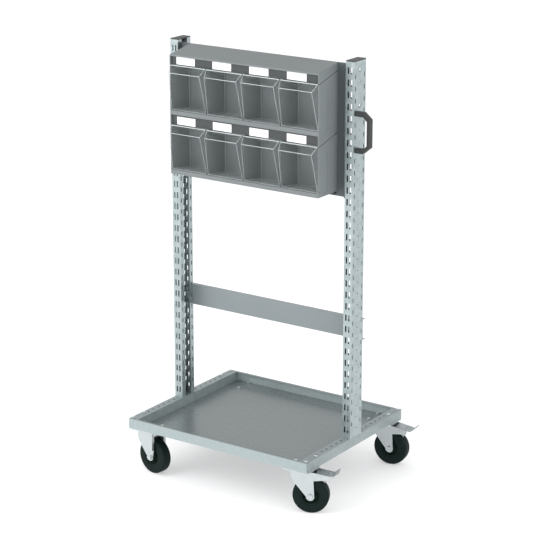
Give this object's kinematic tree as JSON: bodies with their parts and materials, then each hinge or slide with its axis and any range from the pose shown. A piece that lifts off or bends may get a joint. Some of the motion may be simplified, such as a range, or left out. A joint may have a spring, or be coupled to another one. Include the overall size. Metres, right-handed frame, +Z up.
{
  "type": "drawer cabinet trolley",
  "caption": "Small-parts trolley: low galvanised castor tray, perforated uprights, grey housings with clear tilt bins, two braked castors and a bow handle.",
  "frame": {"origin": "on the floor under the middle of the object's box, pedals and handle included", "axes": "+X to the trolley's right seen from the bins, +Y to its back, +Z up"},
  "size_m": [0.8278, 0.612, 1.496],
  "materials": {
    "galvanised": "zinc-coated sheet",
    "grey_paint": "satin paint",
    "grey_plastic": "moulded",
    "clear_plastic": "clear moulded",
    "white_card": "plain card",
    "black_plastic": "moulded",
    "bright_zinc": "bright zinc plate",
    "dark_rubber": "matt rubber",
    "dark_plastic": "moulded"
  },
  "bodies": {
    "trolley": {"tray": "galvanised", "rail_left": "galvanised", "rail_right": "galvanised", "upright_left": "galvanised", "upright_right": "galvanised", "cap_left": "black_plastic", "cap_right": "black_plastic", "handle": "black_plastic", "handle_screws": "bright_zinc", "cross_beam": "grey_paint", "beam_bolts": "bright_zinc", "back_panel": "grey_paint", "panel_screws": "bright_zinc", "support_studs": "black_plastic", "housing_lower": "grey_plastic", "housing_upper": "grey_plastic", "housing_screws": "bright_zinc", "hood": "grey_plastic", "cards_lower": "white_card", "cards_upper": "white_card", "castor_bolts": "bright_zinc", "castor_front_right_plate": "bright_zinc", "castor_front_right_kingpin": "bright_zinc", "castor_back_right_plate": "bright_zinc", "castor_back_right_kingpin": "bright_zinc", "castor_front_left_plate": "bright_zinc", "castor_front_left_kingpin": "bright_zinc", "castor_back_left_plate": "bright_zinc", "castor_back_left_kingpin": "bright_zinc"},
    "castor_front_right_swivel": {"castor_front_right_fork": "bright_zinc", "castor_front_right_pins": "bright_zinc"},
    "castor_front_right_wheel": {"castor_front_right_tyre": "dark_rubber", "castor_front_right_hub": "dark_plastic"},
    "castor_front_right_brake": {"castor_front_right_pedal": "bright_zinc"},
    "castor_back_right_swivel": {"castor_back_right_fork": "bright_zinc", "castor_back_right_pins": "bright_zinc"},
    "castor_back_right_wheel": {"castor_back_right_tyre": "dark_rubber", "castor_back_right_hub": "dark_plastic"},
    "castor_back_right_brake": {"castor_back_right_pedal": "bright_zinc"},
    "castor_front_left_swivel": {"castor_front_left_fork": "bright_zinc", "castor_front_left_pins": "bright_zinc"},
    "castor_front_left_wheel": {"castor_front_left_tyre": "dark_rubber", "castor_front_left_hub": "dark_plastic"},
    "castor_back_left_swivel": {"castor_back_left_fork": "bright_zinc", "castor_back_left_pins": "bright_zinc"},
    "castor_back_left_wheel": {"castor_back_left_tyre": "dark_rubber", "castor_back_left_hub": "dark_plastic"},
    "bin_lower_1": {"bin_lower_1": "clear_plastic"},
    "bin_lower_2": {"bin_lower_2": "clear_plastic"},
    "bin_lower_3": {"bin_lower_3": "clear_plastic"},
    "bin_lower_4": {"bin_lower_4": "clear_plastic"},
    "bin_upper_1": {"bin_upper_1": "clear_plastic"},
    "bin_upper_2": {"bin_upper_2": "clear_plastic"},
    "bin_upper_3": {"bin_upper_3": "clear_plastic"},
    "bin_upper_4": {"bin_upper_4": "clear_plastic"}
  },
  "joints": [
    {"name": "castor_front_right_swivel_turn", "type": "hinge", "parent": "trolley", "child": "castor_front_right_swivel", "pos_m": [0.279, -0.2635, 0.149], "axis": [0, 0, 1], "continuous": true},
    {"name": "castor_front_right_wheel_spin", "type": "hinge", "parent": "castor_front_right_swivel", "child": "castor_front_right_wheel", "pos_m": [0.31189, -0.24886, 0.0625], "axis": [-0.4067, 0.9135, 0], "continuous": true},
    {"name": "castor_front_right_brake_press", "type": "hinge", "parent": "castor_front_right_swivel", "child": "castor_front_right_brake", "pos_m": [0.34477, -0.23422, 0.134], "axis": [-0.4067, 0.9135, 0], "range_deg": [0, 14]},
    {"name": "castor_back_right_swivel_turn", "type": "hinge", "parent": "trolley", "child": "castor_back_right_swivel", "pos_m": [0.279, 0.2635, 0.149], "axis": [0, 0, 1], "continuous": true},
    {"name": "castor_back_right_wheel_spin", "type": "hinge", "parent": "castor_back_right_swivel", "child": "castor_back_right_wheel", "pos_m": [0.31465, 0.26851, 0.0625], "axis": [-0.1392, 0.9903, 0], "continuous": true},
    {"name": "castor_back_right_brake_press", "type": "hinge", "parent": "castor_back_right_swivel", "child": "castor_back_right_brake", "pos_m": [0.3503, 0.27352, 0.134], "axis": [-0.1392, 0.9903, 0], "range_deg": [0, 14]},
    {"name": "castor_front_left_swivel_turn", "type": "hinge", "parent": "trolley", "child": "castor_front_left_swivel", "pos_m": [-0.363, -0.2635, 0.149], "axis": [0, 0, 1], "continuous": true},
    {"name": "castor_front_left_wheel_spin", "type": "hinge", "parent": "castor_front_left_swivel", "child": "castor_front_left_wheel", "pos_m": [-0.32744, -0.26913, 0.0625], "axis": [0.1564, 0.9877, 0], "continuous": true},
    {"name": "castor_back_left_swivel_turn", "type": "hinge", "parent": "trolley", "child": "castor_back_left_swivel", "pos_m": [-0.363, 0.2635, 0.149], "axis": [0, 0, 1], "continuous": true},
    {"name": "castor_back_left_wheel_spin", "type": "hinge", "parent": "castor_back_left_swivel", "child": "castor_back_left_wheel", "pos_m": [-0.32714, 0.26664, 0.0625], "axis": [-0.0872, 0.9962, 0], "continuous": true},
    {"name": "bin_lower_1_tilt", "type": "hinge", "parent": "trolley", "child": "bin_lower_1", "pos_m": [-0.26587, -0.128, 1.07], "axis": [1, 0, 0], "range_deg": [0, 35]},
    {"name": "bin_lower_2_tilt", "type": "hinge", "parent": "trolley", "child": "bin_lower_2", "pos_m": [-0.11663, -0.128, 1.07], "axis": [1, 0, 0], "range_deg": [0, 35]},
    {"name": "bin_lower_3_tilt", "type": "hinge", "parent": "trolley", "child": "bin_lower_3", "pos_m": [0.03263, -0.128, 1.07], "axis": [1, 0, 0], "range_deg": [0, 35]},
    {"name": "bin_lower_4_tilt", "type": "hinge", "parent": "trolley", "child": "bin_lower_4", "pos_m": [0.18188, -0.128, 1.07], "axis": [1, 0, 0], "range_deg": [0, 35]},
    {"name": "bin_upper_1_tilt", "type": "hinge", "parent": "trolley", "child": "bin_upper_1", "pos_m": [-0.26587, -0.128, 1.277], "axis": [1, 0, 0], "range_deg": [0, 35]},
    {"name": "bin_upper_2_tilt", "type": "hinge", "parent": "trolley", "child": "bin_upper_2", "pos_m": [-0.11663, -0.128, 1.277], "axis": [1, 0, 0], "range_deg": [0, 35]},
    {"name": "bin_upper_3_tilt", "type": "hinge", "parent": "trolley", "child": "bin_upper_3", "pos_m": [0.03263, -0.128, 1.277], "axis": [1, 0, 0], "range_deg": [0, 35]},
    {"name": "bin_upper_4_tilt", "type": "hinge", "parent": "trolley", "child": "bin_upper_4", "pos_m": [0.18188, -0.128, 1.277], "axis": [1, 0, 0], "range_deg": [0, 35]}
  ]
}
